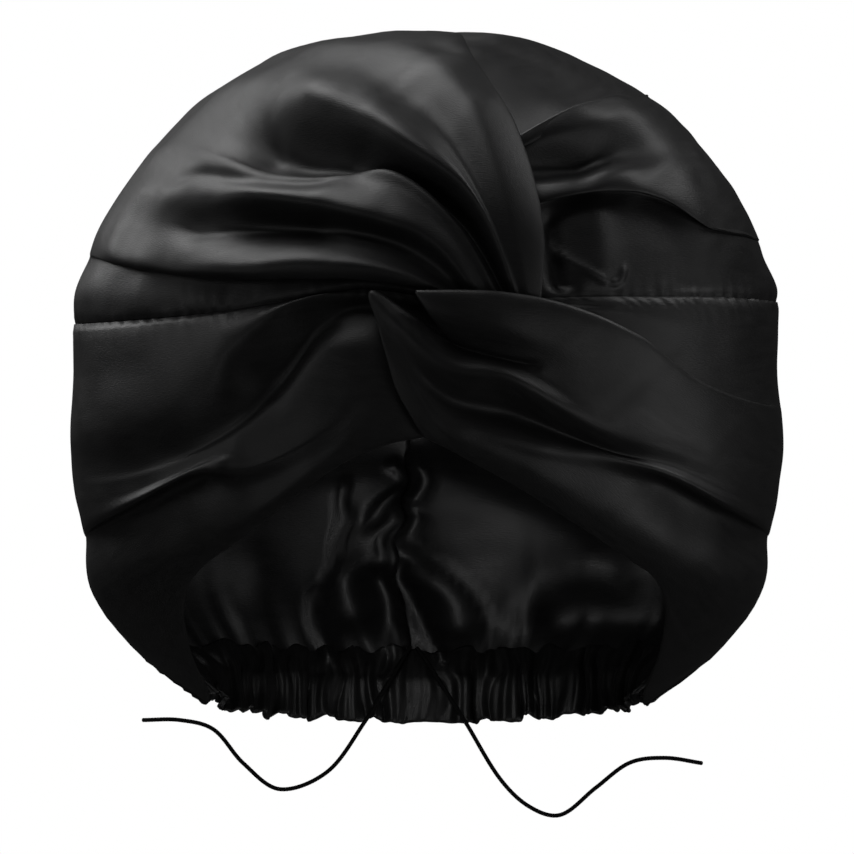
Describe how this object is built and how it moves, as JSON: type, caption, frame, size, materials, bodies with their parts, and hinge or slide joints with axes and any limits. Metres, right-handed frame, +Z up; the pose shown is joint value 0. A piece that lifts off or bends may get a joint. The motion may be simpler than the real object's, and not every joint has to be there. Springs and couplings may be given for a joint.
{
  "type": "hair treatment cap",
  "caption": "Full black satin turban cap worn over treated or sleeping hair, with a twisted front, gathered crown halves, a ruched back seam, a ruffled elastic nape casing and drawstring ends",
  "frame": {"origin": "middle of the head's girth, on the cap's middle plane and level with the band's lower edge at the forehead", "axes": "+Z up the head, -Y out of the face opening and the twist, +X to the right as seen from the front"},
  "size_m": [0.2558, 0.223, 0.2866],
  "materials": {
    "satin": "smooth black satin with a soft sheen",
    "cording": "matt black braided cord"
  },
  "bodies": {
    "root": {"crown_left": "satin", "crown_right": "satin", "band_left": "satin", "band_right": "satin", "nape_casing": "satin", "drawstring_left": "cording", "drawstring_right": "cording"}
  },
  "joints": []
}
